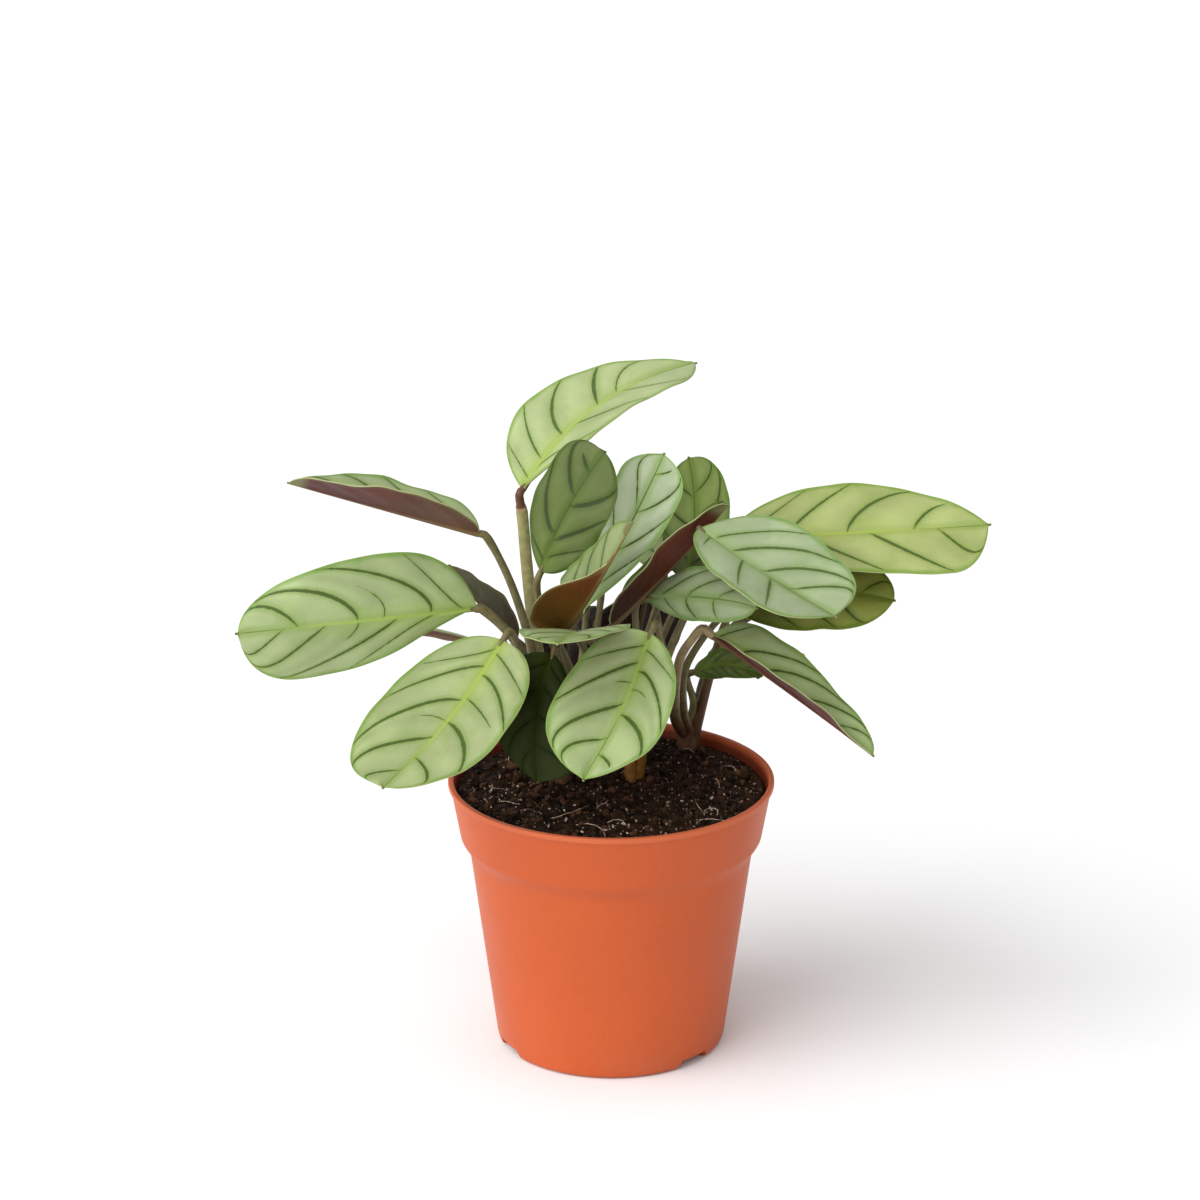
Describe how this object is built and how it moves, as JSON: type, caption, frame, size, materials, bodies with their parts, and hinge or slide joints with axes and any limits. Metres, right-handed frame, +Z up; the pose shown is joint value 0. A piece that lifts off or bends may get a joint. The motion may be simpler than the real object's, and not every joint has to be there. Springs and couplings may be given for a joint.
{
  "type": "potted amagris ctenanthe",
  "caption": "Potted amagris ctenanthe: silvery oval leaves with dark feathered veins and maroon undersides on thin petioles, in a round terracotta-coloured plastic nursery pot.",
  "frame": {"origin": "on the pot's axis, on the surface that the pot stands on", "axes": "+Z up along the pot's axis; -Y is the front of the plant, where the hanging leaves are; +X is to the right"},
  "size_m": [0.2716, 0.1628, 0.2483],
  "materials": {
    "pot_plastic": "satin terracotta-orange plastic",
    "potting_soil": "rough dark brown peat with pale fibres",
    "stems": "satin olive-brown petioles, darker and browner at the base",
    "leaf_silver_green": "satin silvery green with dark green veins, maroon-brown underneath",
    "leaf_yellow_green": "satin yellow-green with dark green veins, maroon-brown underneath",
    "leaf_blue_green": "satin blue-grey green with dark green veins, maroon-brown underneath",
    "leaf_dark_green": "satin darker green with dark green veins, maroon-brown underneath"
  },
  "bodies": {
    "root": {"pot": "pot_plastic", "soil": "potting_soil", "shoot_left": "stems", "shoot_inner": "stems", "shoot_middle": "stems", "shoot_right": "stems", "shoot_centre": "stems", "shoot_back": "stems", "leaf_far_left_furled": "leaf_silver_green", "leaf_left_broad": "leaf_silver_green", "leaf_rolled_young": "leaf_dark_green", "leaf_front_left": "leaf_yellow_green", "leaf_front_middle": "leaf_silver_green", "leaf_shaded_hanging": "leaf_dark_green", "leaf_level_forward": "leaf_silver_green", "leaf_tall_arching": "leaf_yellow_green", "leaf_upright_dark": "leaf_dark_green", "leaf_folded_pale": "leaf_yellow_green", "leaf_upright_silver": "leaf_blue_green", "leaf_upright_back": "leaf_dark_green", "leaf_furled_maroon": "leaf_dark_green", "leaf_right_blue": "leaf_blue_green", "leaf_right_small_blue": "leaf_blue_green", "leaf_right_long_yellow": "leaf_yellow_green", "leaf_right_under_yellow": "leaf_yellow_green", "leaf_right_drooping": "leaf_silver_green", "leaf_right_small_low": "leaf_dark_green", "leaf_back_left": "leaf_silver_green", "leaf_back_hanging": "leaf_silver_green", "leaf_back_low": "leaf_blue_green", "leaf_back_upright": "leaf_dark_green", "leaf_back_tall": "leaf_silver_green", "leaf_back_right": "leaf_yellow_green", "leaf_back_right_low": "leaf_dark_green"}
  },
  "joints": []
}
